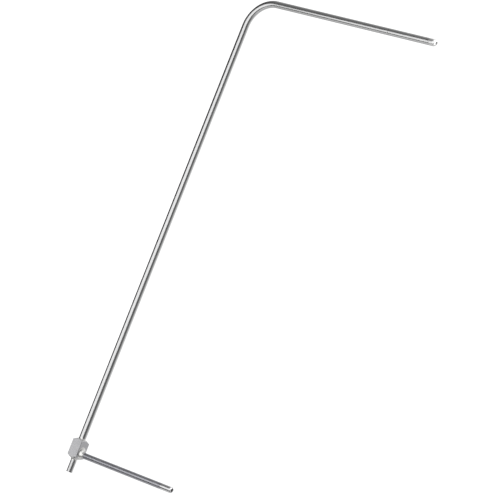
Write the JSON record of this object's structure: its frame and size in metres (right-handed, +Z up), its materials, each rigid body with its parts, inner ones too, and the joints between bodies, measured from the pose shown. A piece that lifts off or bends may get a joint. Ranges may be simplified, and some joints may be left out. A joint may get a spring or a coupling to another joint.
{
  "type": "pitot-static tube",
  "caption": "L-shaped stainless Pitot-static probe: long stem bent into a round-nosed head, with a square brazed block, a side tube and an end tube for hoses.",
  "frame": {"origin": "on the block's underside, below the point where the stem's axis and the static port's axis cross", "axes": "+X the way the head and the side tube point, +Y up the stem from the block to the bend, +Z up with the probe lying flat"},
  "size_m": [0.2307, 0.5035, 0.012],
  "materials": {
    "drawn_tube": "bright drawn stainless tube",
    "port_tube": "bright drawn stainless tube",
    "turned_steel": "fine turned stainless steel",
    "brushed_block": "brushed along the stem",
    "silver_braze": "satin silver braze"
  },
  "bodies": {
    "root": {"outer_tube": "drawn_tube", "nose_piece": "turned_steel", "nose_braze_ring": "silver_braze", "total_pressure_tube": "drawn_tube", "head_spacer": "turned_steel", "upper_stem_spacer": "turned_steel", "lower_stem_spacer": "turned_steel", "manifold_block": "brushed_block", "static_port_tube": "port_tube", "total_port_tube": "port_tube", "stem_braze_ring": "silver_braze", "static_port_braze_ring": "silver_braze", "total_port_braze_ring": "silver_braze", "seal_braze_ring": "silver_braze"}
  },
  "joints": []
}
